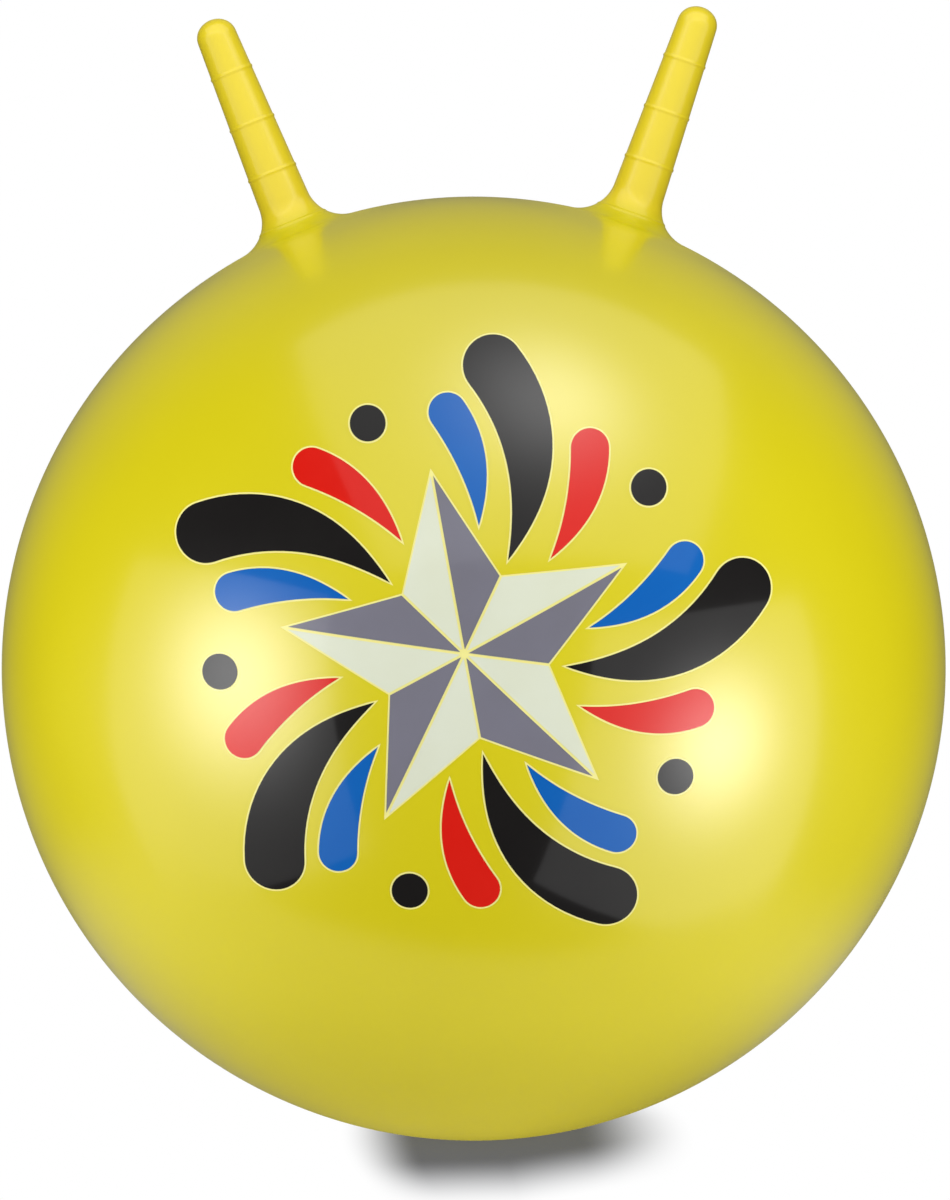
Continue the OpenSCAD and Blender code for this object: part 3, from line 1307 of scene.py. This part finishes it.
@dataclass
class FrontPrint:
    """The print on the front: a two-tone star in a swirl of drops and dots, on a pale undercoat.

    Outlines are drawn flat, as seen from the front, and then pressed on to the ball.

    Attributes:
        ball: the ball's sizes.
        middle: how far the print's middle lies to the right of the ball's and above it.
        turn_deg: angle by which the print is turned to the left.
        star_points: number of the star's points.
        star_r: distance of the star's points from the middle.
        star_notch_r: distance of its notches.
        line: width of the bare lines between the halves of its arms.
        long_drop_r: distance of the long drops' ends from the middle.
        long_drop_w: width of a long drop.
        short_drop_r: distance of the short drops' ends.
        short_drop_w: width of a short drop.
        drop_gap: distance from the star at which a drop starts.
        swirl_turn_deg: angle by which the swirl has turned at the long drops' ends.
        dot_ring_r: distance of the dots from the middle.
        dot_d: diameter of a dot.
        undercoat_margin: how far the undercoat shows round the inks.
        undercoat_span: heights of the undercoat's underside and top over the ball.
        ink_span: heights of the inks' undersides and tops over the ball.
        mesh_step: size of the triangles in a film.
        row_share: height of a row of triangles, as a share of their size.
        clear_share: how far their corners keep from the outline, as a share of their size.
        least_cosine: limit to how far the undercoat reaches at a sharp point.
        drop_samples: number of points along each side of a drop.
        dot_steps: number of steps round a dot.
    """

    ball: BallSize
    middle: tuple[float, float] = (-0.004, 0.022)
    turn_deg: float = 9.0
    star_points: int = 5
    star_r: float = 0.080
    star_notch_r: float = 0.037
    line: float = 0.0012
    long_drop_r: float = 0.140
    long_drop_w: float = 0.027
    short_drop_r: float = 0.114
    short_drop_w: float = 0.017
    drop_gap: float = 0.008
    swirl_turn_deg: float = 26.0
    dot_ring_r: float = 0.109
    dot_d: float = 0.016
    undercoat_margin: float = 0.0008
    undercoat_span: tuple[float, float] = (0.00001, 0.00006)
    ink_span: tuple[float, float] = (0.00006, 0.00017)
    mesh_step: float = 0.004
    row_share: float = 0.866
    clear_share: float = 0.4
    least_cosine: float = 0.4
    drop_samples: int = 25
    dot_steps: int = 40

    @property
    def star_step(self) -> float:
        """Angle from one of the star's points to the next."""
        return FULL_TURN / self.star_points

    def _swirl(self, away: float) -> tuple[float, float]:
        """Follows the swirl's line.

        Args:
            away: distance from the print's middle.

        Returns:
            The angle by which the line has turned there, and the direction in which it runs.
        """
        run = self.long_drop_r - self.star_notch_r
        share = (away - self.star_notch_r) / run
        whole_turn = math.radians(self.swirl_turn_deg)
        angle = whole_turn * share ** 2
        return angle, angle + math.atan(away * 2 * whole_turn * share / run)

    def _beside_swirl(self, away: float, offset: float, side: float) -> np.ndarray:
        """Gives a point beside the swirl's line.

        Args:
            away: distance from the print's middle along the line.
            offset: distance from the line.
            side: angle to the line's direction.

        Returns:
            The point.
        """
        angle, heading = self._swirl(away)
        spot = away * np.array((math.cos(angle), math.sin(angle)))
        return spot + offset * np.array((math.cos(heading + side), math.sin(heading + side)))

    def _drop(self, start_r: float, end_r: float, width: float) -> np.ndarray:
        """Draws a drop that starts in a point, swells along the swirl and ends round.

        Args:
            start_r: distance of its point from the print's middle.
            end_r: distance of its round end.
            width: its greatest width.

        Returns:
            Its outline, counter-clockwise.
        """
        cap_r = width / 2
        cap_at = end_r - cap_r
        quarter = math.pi / 2
        shares = np.linspace(0, 1, self.drop_samples)
        body = [(start_r + (cap_at - start_r) * s, cap_r * math.sin(quarter * s)) for s in shares]
        right = [self._beside_swirl(away, half, -quarter) for away, half in body]
        cap = [self._beside_swirl(cap_at, cap_r, math.pi * s - quarter) for s in shares[1:-1]]
        left = [self._beside_swirl(away, half, quarter) for away, half in reversed(body[1:])]
        return np.array(right + cap + left)

    def _star_half(self, side: int) -> np.ndarray:
        """Draws half of one of the star's arms, cut back by half a bare line along its middle and its notch.

        Args:
            side: 1 for the half on the left of the arm's point, -1 for the other.

        Returns:
            Its outline, counter-clockwise.
        """
        quarter = self.star_step / 4
        inset = self.line / 2
        notch = self.star_notch_r * np.array((math.cos(2 * quarter), math.sin(2 * quarter)))
        start = inset / math.sin(quarter) * np.array((math.cos(quarter), math.sin(quarter)))
        along_edge = (notch - (self.star_r, 0.0)) / notch[1]
        tip = np.array((self.star_r, 0.0)) + along_edge * inset
        toward = notch / np.linalg.norm(notch)
        square = np.array((toward[1], -toward[0]))
        back = inset / float(square @ ((self.star_r, 0.0) - notch)) * ((self.star_r, 0.0) - notch)
        corners = np.array([start, tip, notch + back])
        return corners if side > 0 else corners[::-1] * (1, -1)

    def _star_edge(self) -> np.ndarray:
        """Draws the whole star.

        Returns:
            Its outline, counter-clockwise.
        """
        angles = self.star_step / 2 * np.arange(2 * self.star_points)
        reach = np.where(np.arange(2 * self.star_points) % 2 == 0, self.star_r, self.star_notch_r)
        return reach[:, None] * np.column_stack([np.cos(angles), np.sin(angles)])

    def _dot(self) -> np.ndarray:
        """Draws a dot on the swirl's line."""
        spot = self._beside_swirl(self.dot_ring_r, 0.0, 0.0)
        return arc(tuple(spot), self.dot_d / 2, 0.0, FULL_TURN, self.dot_steps)[:-1]

    def _around(self, outline: np.ndarray, offset: float) -> list[np.ndarray]:
        """Repeats an outline once for each of the star's points.

        Args:
            outline: the outline to repeat.
            offset: angle of the first one from a point of the star.

        Returns:
            The outlines, placed on the front.
        """
        made = []
        for number in range(self.star_points):
            angle = math.pi / 2 + offset + number * self.star_step + math.radians(self.turn_deg)
            turn = np.array(((math.cos(angle), math.sin(angle)), (-math.sin(angle), math.cos(angle))))
            made.append(outline @ turn + self.middle)
        return made

    def outlines(self) -> dict[Shape, list[np.ndarray]]:
        """Draws every printed shape.

        Returns:
            The outlines of each ink, placed on the front.
        """
        quarter = self.star_step / 4
        edge_r = self.star_r * self.star_notch_r * math.sin(2 * quarter)
        edge_r /= (self.star_r + self.star_notch_r) * math.sin(quarter)
        short = self._drop(edge_r + self.drop_gap, self.short_drop_r, self.short_drop_w)
        long = self._drop(self.star_notch_r + self.drop_gap, self.long_drop_r, self.long_drop_w)
        return {
            Shape.WHITE: self._around(self._star_half(1), 0.0),
            Shape.GREY: self._around(self._star_half(-1), 0.0),
            Shape.BLUE: self._around(short, -quarter),
            Shape.RED: self._around(short, quarter),
            Shape.BLACK: self._around(long, 2 * quarter) + self._around(self._dot(), 0.0),
        }

    def _grown(self, outline: np.ndarray) -> np.ndarray:
        """Moves an outline out by the undercoat's margin.

        Args:
            outline: the outline, counter-clockwise.

        Returns:
            The wider outline, with sharp points kept short.
        """
        ahead = np.roll(outline, -1, axis=0) - outline
        ahead = ahead / np.linalg.norm(ahead, axis=1, keepdims=True)
        out = np.column_stack([ahead[:, 1], -ahead[:, 0]])
        both = out + np.roll(out, 1, axis=0)
        both = both / np.linalg.norm(both, axis=1, keepdims=True)
        stretch = 1 / np.maximum(np.sum(both * out, axis=1, keepdims=True), self.least_cosine)
        return outline + both * stretch * self.undercoat_margin

    def _stepped(self, outline: np.ndarray) -> np.ndarray:
        """Adds points along the outline's long edges, so that they follow the ball.

        Args:
            outline: the outline.

        Returns:
            The same outline in short steps.
        """
        made = []
        for start, end in zip(outline, np.roll(outline, -1, axis=0)):
            steps = math.ceil(np.linalg.norm(end - start) / (self.mesh_step / 2))
            made.append(start + (end - start) * np.linspace(0, 1, steps, endpoint=False)[:, None])
        return np.vstack(made)

    def _film(self, outline: np.ndarray, span: tuple[float, float]) -> Draft:
        """Presses a flat outline on to the ball as a thin film.

        Args:
            outline: the outline, counter-clockwise.
            span: heights of the film's underside and top over the ball.

        Returns:
            The closed film.
        """
        step = self.mesh_step
        outline = self._stepped(outline)
        low, high = outline.min(axis=0), outline.max(axis=0)
        across = np.arange(low[0], high[0], step)
        columns, rows = np.meshgrid(across, np.arange(low[1], high[1], step * self.row_share))
        columns[1::2] += step / 2
        spots = np.column_stack([columns.ravel(), rows.ravel()])
        ends = np.roll(outline, -1, axis=0)
        along = ends - outline
        offset = spots[:, None] - outline
        share = np.clip(np.sum(offset * along, axis=2) / np.sum(along ** 2, axis=1), 0, 1)
        gap = np.linalg.norm(offset - share[:, :, None] * along, axis=2).min(axis=1)
        seeds = np.vstack([outline, spots[gap > step * self.clear_share]])
        count = len(outline)
        edges = [(number, (number + 1) % count) for number in range(count)]
        flat, _, faces, *_ = delaunay_2d_cdt([Vector(seed) for seed in seeds], edges, [], 1, TINY)
        flat = np.array(flat)
        depth = -np.sqrt(self.ball.radius ** 2 - np.sum(flat ** 2, axis=1))
        out = np.column_stack([flat[:, 0], depth, flat[:, 1]]) / self.ball.radius
        centre = np.array(self.ball.centre)
        under, top = [centre + out * (self.ball.radius + height) for height in span]
        size = len(flat)
        walls = [(a, b, size + b, size + a) for a, b in edges]
        upper = [tuple(size + corner for corner in face) for face in faces]
        lower = [tuple(reversed(face)) for face in faces]
        return Draft(np.vstack([under, top]), np.vstack([-out, out]), lower + upper + walls)

    def dress(self, inks: dict[Shape, bpy.types.Material], undercoat: bpy.types.Material) -> None:
        """Builds the films and gives them their inks.

        Args:
            inks: the material of each ink.
            undercoat: the undercoat's material.
        """
        outlines = self.outlines()
        for shape, ink in inks.items():
            piece = joined([self._film(outline, self.ink_span) for outline in outlines[shape]])
            dressed(piece.piece(f"{shape.name.lower()}_ink"), ink, Body.BALL, [shape.value])
        around_star = outlines[Shape.BLUE] + outlines[Shape.RED] + outlines[Shape.BLACK]
        star = self._around(self._star_edge(), 0.0)[0]
        wide = [self._grown(outline) for outline in [*around_star, star]]
        piece = joined([self._film(outline, self.undercoat_span) for outline in wide])
        dressed(piece.piece("undercoat"), undercoat, Body.BALL)


# Studio


def from_ball(azimuth_deg: float, elevation_deg: float) -> Vector:
    """Gives a direction as seen from the ball.

    Args:
        azimuth_deg: angle to the right of the front.
        elevation_deg: angle above the horizon.

    Returns:
        The unit direction.
    """
    azimuth, elevation = math.radians(azimuth_deg), math.radians(elevation_deg)
    level = math.cos(elevation)
    return Vector((math.sin(azimuth) * level, -math.cos(azimuth) * level, math.sin(elevation)))


class Reach(Enum):
    """What a light falls on, when flags keep it off the rest."""

    ALL = "all"
    HORNS = "horns"
    NOT_HORNS = "not_horns"


@dataclass(frozen=True)
class Softbox:
    """A flat studio light that faces the ball and is brightest in front of its lamp.

    Attributes:
        name: the light's name.
        azimuth_deg: its direction from the ball, to the right of the front.
        elevation_deg: its direction above the horizon.
        distance: its distance from the ball's middle.
        width: its width.
        height: its height.
        radiance: brightness of its edge, where 1 is white.
        lamp_gain: how much brighter it is in front of its lamp.
        lamp_at: place of the lamp, as shares of the width and the height.
        lamp_spread: radius of the bright spot, as a share of the width.
        in_gloss: whether the ball's gloss shows it.
        reach: what the light falls on.
        slide: how far it is moved along its width, to the right as seen from the ball.
    """

    name: str
    azimuth_deg: float
    elevation_deg: float
    distance: float
    width: float
    height: float
    radiance: float
    lamp_gain: float = 0.0
    lamp_at: tuple[float, float] = (0.5, 0.5)
    lamp_spread: float = 0.2
    in_gloss: bool = True
    reach: Reach = Reach.ALL
    slide: float = 0.0

    def _flag(self, light: bpy.types.Object, horns: Sequence[bpy.types.Object]) -> None:
        """Keeps the light to the horns or off them.

        Args:
            light: the light.
            horns: the horns.
        """
        if self.reach is Reach.ALL:
            return
        group = bpy.data.collections.new(f"{self.name}_reach")
        for horn in horns:
            group.objects.link(horn)
        light.light_linking.receiver_collection = group
        for entry in group.collection_objects:
            entry.light_linking.link_state = "INCLUDE" if self.reach is Reach.HORNS else "EXCLUDE"

    def build(self, centre: Vector, horns: Sequence[bpy.types.Object]) -> bpy.types.Object:
        """Sets up the light.

        Args:
            centre: middle of the ball.
            horns: the horns.

        Returns:
            The light.
        """
        light = bpy.data.lights.new(self.name, "AREA")
        light.shape = "RECTANGLE"
        light.size = self.width
        light.size_y = self.height
        light.energy = self.radiance * math.pi * self.width * self.height
        sheet = Sheet(light)
        across = sheet.node("ShaderNodeNewGeometry", output="Parametric")
        inputs = {0: across, 1: (*self.lamp_at, 0.0)}
        right, up, _ = sheet.parts(sheet.node("ShaderNodeVectorMath", {"operation": "SUBTRACT"}, inputs))
        away = right ** 2 + (up * (self.height / self.width)) ** 2
        glow = math.e ** (away * (-1 / self.lamp_spread ** 2))
        surface = sheet.blend(glow, sheet.emission(1.0), sheet.emission(1 + self.lamp_gain))
        sheet.node("ShaderNodeOutputLight", None, {"Surface": surface})
        made = bpy.data.objects.new(self.name, light)
        direction = from_ball(self.azimuth_deg, self.elevation_deg)
        turn = direction.to_track_quat("Z", "Y")
        made.location = centre + direction * self.distance + turn @ Vector((self.slide, 0.0, 0.0))
        made.rotation_mode = "QUATERNION"
        made.rotation_quaternion = turn
        made.visible_camera = False
        made.visible_glossy = self.in_gloss
        bpy.context.scene.collection.objects.link(made)
        self._flag(made, horns)
        return made


@dataclass(frozen=True)
class PhotoCamera:
    """The camera, placed so that the ball falls where it does in the photograph.

    Attributes:
        distance: distance from the ball's middle.
        elevation_deg: height over the horizon.
        roll_deg: angle by which the ball leans to the left in the picture.
        frame_px: width and height of the picture.
        ball_px: place of the ball's middle in the picture, from its upper left corner.
        ball_r_px: radius of the ball's outline in the picture.
        sensor: the longer side of its sensor, in millimetres.
    """

    distance: float = 2.75
    elevation_deg: float = 4.0
    roll_deg: float = 1.5
    frame_px: tuple[int, int] = (950, 1200)
    ball_px: tuple[float, float] = (473.7, 668.1)
    ball_r_px: float = 472.0
    sensor: float = 36.0

    def build(self, ball: BallSize) -> bpy.types.Object:
        """Sets up the camera.

        Args:
            ball: the ball's sizes.

        Returns:
            The camera.
        """
        focal_px = self.ball_r_px / math.tan(math.asin(ball.radius / self.distance))
        data = bpy.data.cameras.new("photo_camera")
        data.sensor_width = self.sensor
        data.lens = focal_px * self.sensor / max(self.frame_px)
        made = bpy.data.objects.new("photo_camera", data)
        back = from_ball(0.0, self.elevation_deg)
        across = (self.ball_px[0] - self.frame_px[0] / 2) / focal_px
        down = (self.ball_px[1] - self.frame_px[1] / 2) / focal_px
        to_ball = Vector((across, -down, -1.0))
        aim = to_ball.rotation_difference(Vector((0.0, 0.0, -1.0)))
        turn = back.to_track_quat("Z", "Y").to_matrix()
        turn = turn @ Matrix.Rotation(-math.radians(self.roll_deg), 3, "Z") @ aim.to_matrix()
        made.matrix_world = Matrix.Translation(ball.centre + back * self.distance) @ turn.to_4x4()
        bpy.context.scene.collection.objects.link(made)
        bpy.context.scene.camera = made
        return made


@dataclass
class Studio:
    """The setting: a small white stand on a white floor, soft lights in a dark room, and the camera.

    A pair of numbers for a fade gives where it starts and where it ends.

    Attributes:
        ball: the ball's sizes.
        stand_span: left, right, front and back edges of the sheet that the stand is drawn on.
        stand_front: fade of the stand's front edge, along Y.
        stand_slope: slope of that edge to the right.
        stand_curve: how strongly that edge bends back at its sides.
        stand_right: fade of the stand to the right, along X.
        stand_fade: fade of the stand with the distance from the ball.
        stand_paper: the stand's colour.
        painted_bounce: glow of the stand close to the ball, a painted bounce light that only diffuse rays
            see.
        painted_bounce_fade: fade of that glow to the ambient one.
        floor_span: left, right, front and back edges of the floor.
        floor_drop: how far the floor lies under the ball.
        painted_shadow_paper: the floor's dark colour inside the painted shadow, which the lamps still light.
        shadow_x: how far the painted shadow's middle line lies to the right.
        shadow_skew: how far that line runs to the left for each metre to the front.
        shadow_taper: how fast the painted shadow narrows to the front and the back.
        shadow_left: fade of the painted shadow's left edge.
        shadow_right: fade of its right edge.
        shadow_slant: how much shorter it is for each metre to the right.
        shadow_length: fade of its front and back ends.
        shadow_fill: glow inside the painted shadow, which lightens it.
        room_r: the room's radius.
        room_steps: number of steps from the room's top to its bottom.
        room_dark: brightness of its dark cloth.
        room_glow: how much brighter the cloth is at the back.
        glow_elevation_deg: height of that glow over the horizon.
        glow_fade: fade of that glow, as cosines of the angle from its middle.
        ambient: even light from all sides.
        softboxes: the lights.
    """

    ball: BallSize
    stand_span: tuple[float, float, float, float] = (-0.80, 0.80, -0.30, 0.80)
    stand_front: tuple[float, float] = (-0.256, -0.222)
    stand_slope: float = 0.11
    stand_curve: float = 0.69
    stand_right: tuple[float, float] = (0.17, 0.40)
    stand_fade: tuple[float, float] = (0.22, 0.66)
    stand_paper: Colour = (0.45, 0.45, 0.45, 1.0)
    painted_bounce: float = 0.94
    painted_bounce_fade: tuple[float, float] = (0.04, 0.22)
    floor_span: tuple[float, float, float, float] = (-30.0, 30.0, -30.0, 30.0)
    floor_drop: float = 0.0002
    painted_shadow_paper: Colour = (0.040, 0.044, 0.090, 1.0)
    shadow_x: float = 0.0074
    shadow_skew: float = -0.031
    shadow_taper: float = 6.8
    shadow_left: tuple[float, float] = (0.0417, 0.0780)
    shadow_right: tuple[float, float] = (0.0362, 0.0926)
    shadow_slant: float = 0.91
    shadow_length: tuple[float, float] = (0.081, 0.227)
    shadow_fill: float = 0.113
    room_r: float = 7.0
    room_steps: int = 24
    room_dark: float = 0.012
    room_glow: float = 0.165
    glow_elevation_deg: float = 36.0
    glow_fade: tuple[float, float] = (0.5, 1.0)
    ambient: float = 0.27
    softboxes: list[Softbox] = field(default_factory=lambda: [
        Softbox(
            "left_softbox", azimuth_deg=-62.0, elevation_deg=-9.0, distance=1.25, width=1.455, height=1.50,
            radiance=0.66, lamp_gain=9.0, lamp_at=(0.629, 0.67), lamp_spread=0.262,
            reach=Reach.NOT_HORNS, slide=0.0225,
        ),
        Softbox(
            "right_softbox", azimuth_deg=55.5, elevation_deg=-19.7, distance=1.25, width=1.475, height=1.58,
            radiance=1.00, lamp_gain=6.4, lamp_at=(0.52, 0.59), lamp_spread=0.20,
            reach=Reach.NOT_HORNS, slide=-0.0375,
        ),
        Softbox(
            "horn_softbox", azimuth_deg=0.0, elevation_deg=-3.0, distance=1.10, width=5.40, height=2.40,
            radiance=1.05, lamp_gain=-0.35, lamp_spread=0.25, reach=Reach.HORNS,
        ),
        Softbox(
            "top_softbox", azimuth_deg=8.0, elevation_deg=65.5, distance=1.30, width=2.25, height=2.02,
            radiance=0.76, lamp_gain=4.6, lamp_at=(0.48, 0.49), lamp_spread=0.165,
            reach=Reach.NOT_HORNS, slide=0.34,
        ),
        Softbox(
            "horn_fill", azimuth_deg=0.0, elevation_deg=64.0, distance=1.50, width=4.00, height=1.60,
            radiance=1.12, reach=Reach.HORNS,
        ),
        Softbox(
            "back_fill", azimuth_deg=180.0, elevation_deg=28.0, distance=2.20, width=2.40, height=1.60,
            radiance=1.50, in_gloss=False,
        ),
        Softbox(
            "left_fill", azimuth_deg=-100.0, elevation_deg=-20.0, distance=1.60, width=1.20, height=1.20,
            radiance=1.60, in_gloss=False, reach=Reach.NOT_HORNS,
        ),
        Softbox(
            "right_fill", azimuth_deg=112.0, elevation_deg=-32.0, distance=1.60, width=1.20, height=1.20,
            radiance=1.00, in_gloss=False, reach=Reach.NOT_HORNS,
        ),
    ])

    def _plane(self, name: str, span: tuple[float, float, float, float], height: float) -> bpy.types.Object:
        """Lays a flat sheet.

        Args:
            name: its name.
            span: its left, right, front and back edges.
            height: its height.

        Returns:
            The sheet.
        """
        left, right, front, back = span
        corners = [(left, front), (right, front), (right, back), (left, back)]
        points = np.array([(*corner, height) for corner in corners])
        made = Draft(points, np.tile((0.0, 0.0, 1.0), (4, 1)), [(0, 1, 2, 3)]).piece(name)
        return made

    @staticmethod
    def _seen(sheet: Sheet) -> Wire:
        """Tells rays that show what they hit from those that only carry its light.

        Args:
            sheet: the sheet that the nodes go on.

        Returns:
            1 for the first kind and 0 for the other.
        """
        path = sheet.node("ShaderNodeLightPath")
        seen = path.output("Is Camera Ray").at_least(path.output("Is Glossy Ray"))
        return seen.at_least(path.output("Is Transmission Ray"))

    def build_stand(self) -> None:
        """Lays the stand's pale top, which the ball's gloss shows and which glows for diffuse rays, a painted
        bounce light on the ball's underside.
        """
        top = self._plane("stand_top", self.stand_span, -2 * self.floor_drop)
        sheet = MaterialSheet("stand_paper")
        right, back, _ = sheet.parts(sheet.where)
        away = (right ** 2 + back ** 2) ** 0.5
        behind_edge = back - right * self.stand_slope - right ** 2 * self.stand_curve
        shown = behind_edge.ramp(*self.stand_front) * (1 - away.ramp(*self.stand_fade))
        shown = shown * (1 - right.ramp(*self.stand_right))
        # The stand glows for diffuse rays, brightest close to the ball: a painted bounce light on the ball's
        # underside
        near = 1 - away.ramp(*self.painted_bounce_fade)
        painted_bounce = sheet.blend(near, sheet.emission(self.ambient), sheet.emission(self.painted_bounce))
        plain = sheet.node("ShaderNodeBsdfDiffuse", None, {"Color": self.stand_paper})
        lit = sheet.node("ShaderNodeAddShader", None, {0: plain, 1: painted_bounce})
        paper = sheet.blend(sheet.node("ShaderNodeLightPath", output="Is Diffuse Ray"), plain, lit)
        clear = sheet.node("ShaderNodeBsdfTransparent")
        top.data.materials.append(sheet.shows(sheet.blend(shown, clear, paper)))
        top.visible_camera = False

    def build_floor(self) -> None:
        """Lays the white floor, with the ball's shadow painted on it as a patch of dark paper by place.
        Inside the patch, the lamps and the ball's real shadow still light and darken the paper, and a faint
        glow lightens it.
        """
        floor = self._plane("floor", self.floor_span, -self.floor_drop)
        sheet = MaterialSheet("painted_shadow_paper")
        right, back, _ = sheet.parts(sheet.where)
        # The shadow's outline is painted by place, not cast by the lamps
        along = -1 * back
        across = right - self.shadow_x + self.shadow_skew * along
        wide = across * (1 + self.shadow_taper * along ** 2)
        inside = (1 - wide.ramp(*self.shadow_right)) * (1 - (-1 * wide).ramp(*self.shadow_left))
        slanted = abs(along) + self.shadow_slant * across.at_least(0.0)
        shadow = inside * (1 - slanted.ramp(*self.shadow_length))
        paper = sheet.node("ShaderNodeBsdfDiffuse", None, {"Color": self.painted_shadow_paper})
        shaded = sheet.node("ShaderNodeAddShader", None, {0: paper, 1: sheet.emission(self.shadow_fill)})
        floor.data.materials.append(sheet.shows(sheet.blend(shadow, sheet.emission(1.0), shaded)))
        floor.visible_diffuse = False
        floor.visible_glossy = False
        floor.visible_shadow = False

    def build_room(self) -> None:
        """Hangs the dark cloth round the studio, which only the ball's gloss shows."""
        outline = arc((0.0, 0.0), self.room_r, math.pi / 2, -math.pi / 2, self.room_steps)
        outline[[0, -1], 0] = 0.0
        inward = -outline / self.room_r
        room = revolve(outline, inward, Matrix.Identity(4), 2 * self.room_steps).piece("dark_room")
        sheet = MaterialSheet("dark_cloth")
        _, back, up = sheet.parts(sheet.where)
        toward = from_ball(180.0, self.glow_elevation_deg) / self.room_r
        nearness = back * toward.y + abs(up) * toward.z
        dark = sheet.emission(self.room_dark)
        pale = sheet.emission(self.room_dark + self.room_glow)
        room.data.materials.append(sheet.shows(sheet.blend(nearness.ramp(*self.glow_fade), dark, pale)))
        room.visible_camera = False
        room.visible_diffuse = False
        room.visible_shadow = False

    def build_world(self) -> None:
        """Sets the white background and the even light that fills the shadows."""
        world = bpy.data.worlds.new("studio")
        bpy.context.scene.world = world
        sheet = Sheet(world)
        fill = sheet.node("ShaderNodeBackground", None, {"Color": WHITE, "Strength": self.ambient})
        backdrop = sheet.node("ShaderNodeBackground", None, {"Color": WHITE, "Strength": 1.0})
        background = sheet.blend(self._seen(sheet), fill, backdrop)
        sheet.node("ShaderNodeOutputWorld", None, {"Surface": background})

    def build(self, horns: Sequence[bpy.types.Object]) -> None:
        """Sets up everything round the ball.

        Args:
            horns: the horns, which some lights keep to and others are kept off.
        """
        self.build_stand()
        self.build_floor()
        self.build_room()
        self.build_world()
        for softbox in self.softboxes:
            softbox.build(self.ball.centre, horns)
        PhotoCamera().build(self.ball)
        bpy.context.scene.view_settings.view_transform = "Standard"


def inks() -> dict[Shape, bpy.types.Material]:
    """Makes the material of each ink.

    Returns:
        The materials, by the shapes that they are printed in.
    """
    made = {
        Shape.WHITE: Ink("white_ink", screen_colour(215, 220, 202), screen_colour(208, 212, 187)),
        Shape.GREY: Ink("grey_ink", screen_colour(118, 117, 130), screen_colour(110, 109, 118)),
        Shape.BLUE: Ink("blue_ink", screen_colour(10, 91, 173), screen_colour(14, 97, 177)),
        Shape.RED: Ink("red_ink", screen_colour(207, 24, 14), screen_colour(213, 33, 22)),
        Shape.BLACK: Ink("black_ink", screen_colour(24, 22, 22), screen_colour(30, 29, 28)),
    }
    return {shape: ink.material() for shape, ink in made.items()}


def main() -> None:
    """Builds and dresses the hopper ball and sets up the studio."""
    logging.basicConfig(level=logging.INFO, format="%(name)s %(message)s")
    size = BallSize()
    horns = [Horn(size, side) for side in Side]
    valve = Valve(size, Vector(frame["joints"][0]["axis"]).normalized())
    vinyl = Vinyl(size.centre, size.radius, horns[-1].axis).material()
    BallSkin(size, [horn.loop for horn in horns] + [valve.loop]).dress(vinyl)
    grips = [horn.dress(vinyl) for horn in horns]
    valve.dress(vinyl, PlugPlastic().material())
    pale = Ink("undercoat_ink", screen_colour(238, 232, 150), screen_colour(232, 224, 130))
    FrontPrint(size).dress(inks(), pale.material())
    Studio(size).build(grips)


if __name__ == "__main__":
    main()
